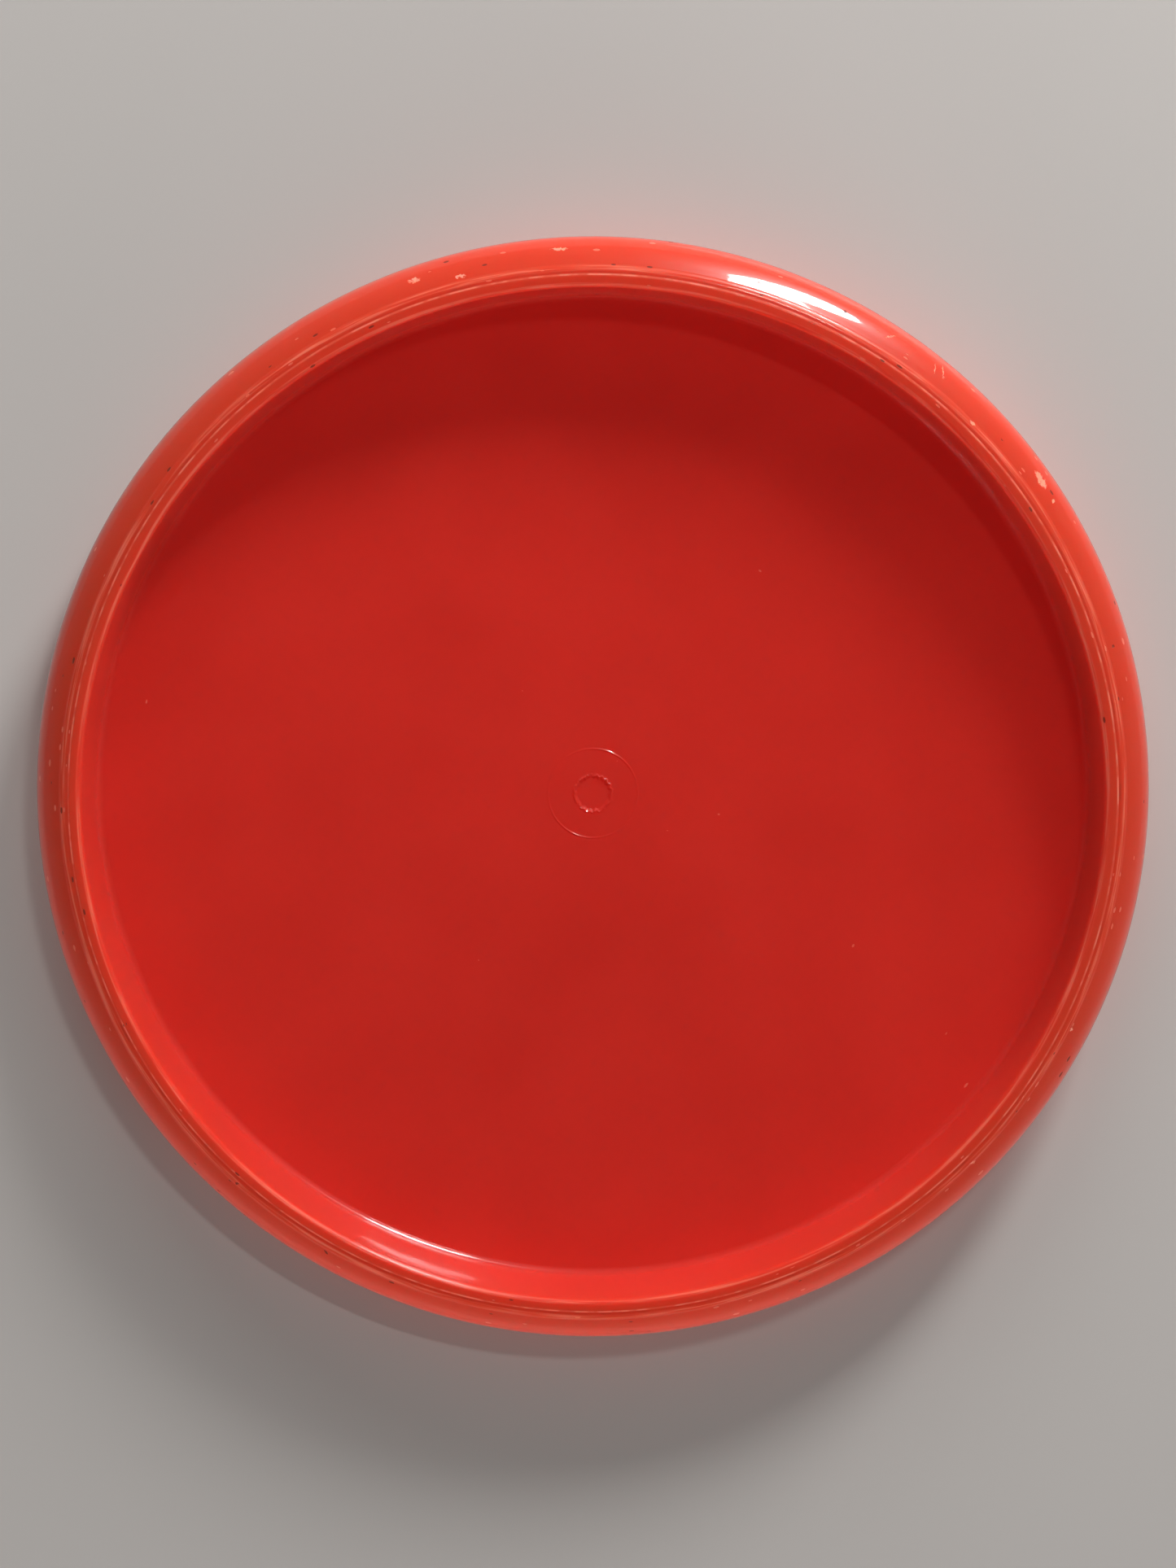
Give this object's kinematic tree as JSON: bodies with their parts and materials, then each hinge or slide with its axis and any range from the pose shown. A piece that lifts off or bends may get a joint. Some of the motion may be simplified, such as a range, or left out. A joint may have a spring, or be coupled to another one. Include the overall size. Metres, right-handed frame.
{
  "type": "flying disc",
  "caption": "Round golf putter disc with a thin raised flight plate, rounded shoulder, beaded rim and drafted inner wall.",
  "frame": {"origin": "centre of the disc, in the plane of the rim's flat land that it stands on", "axes": "+Z along the spin axis, up through the flight plate's top; X and Y lie in the plane of the disc"},
  "size_m": [0.212, 0.212, 0.0178],
  "materials": {
    "disc_body": "glossy, slightly translucent orange red"
  },
  "bodies": {
    "root": {"disc_body": "disc_body"}
  },
  "joints": []
}
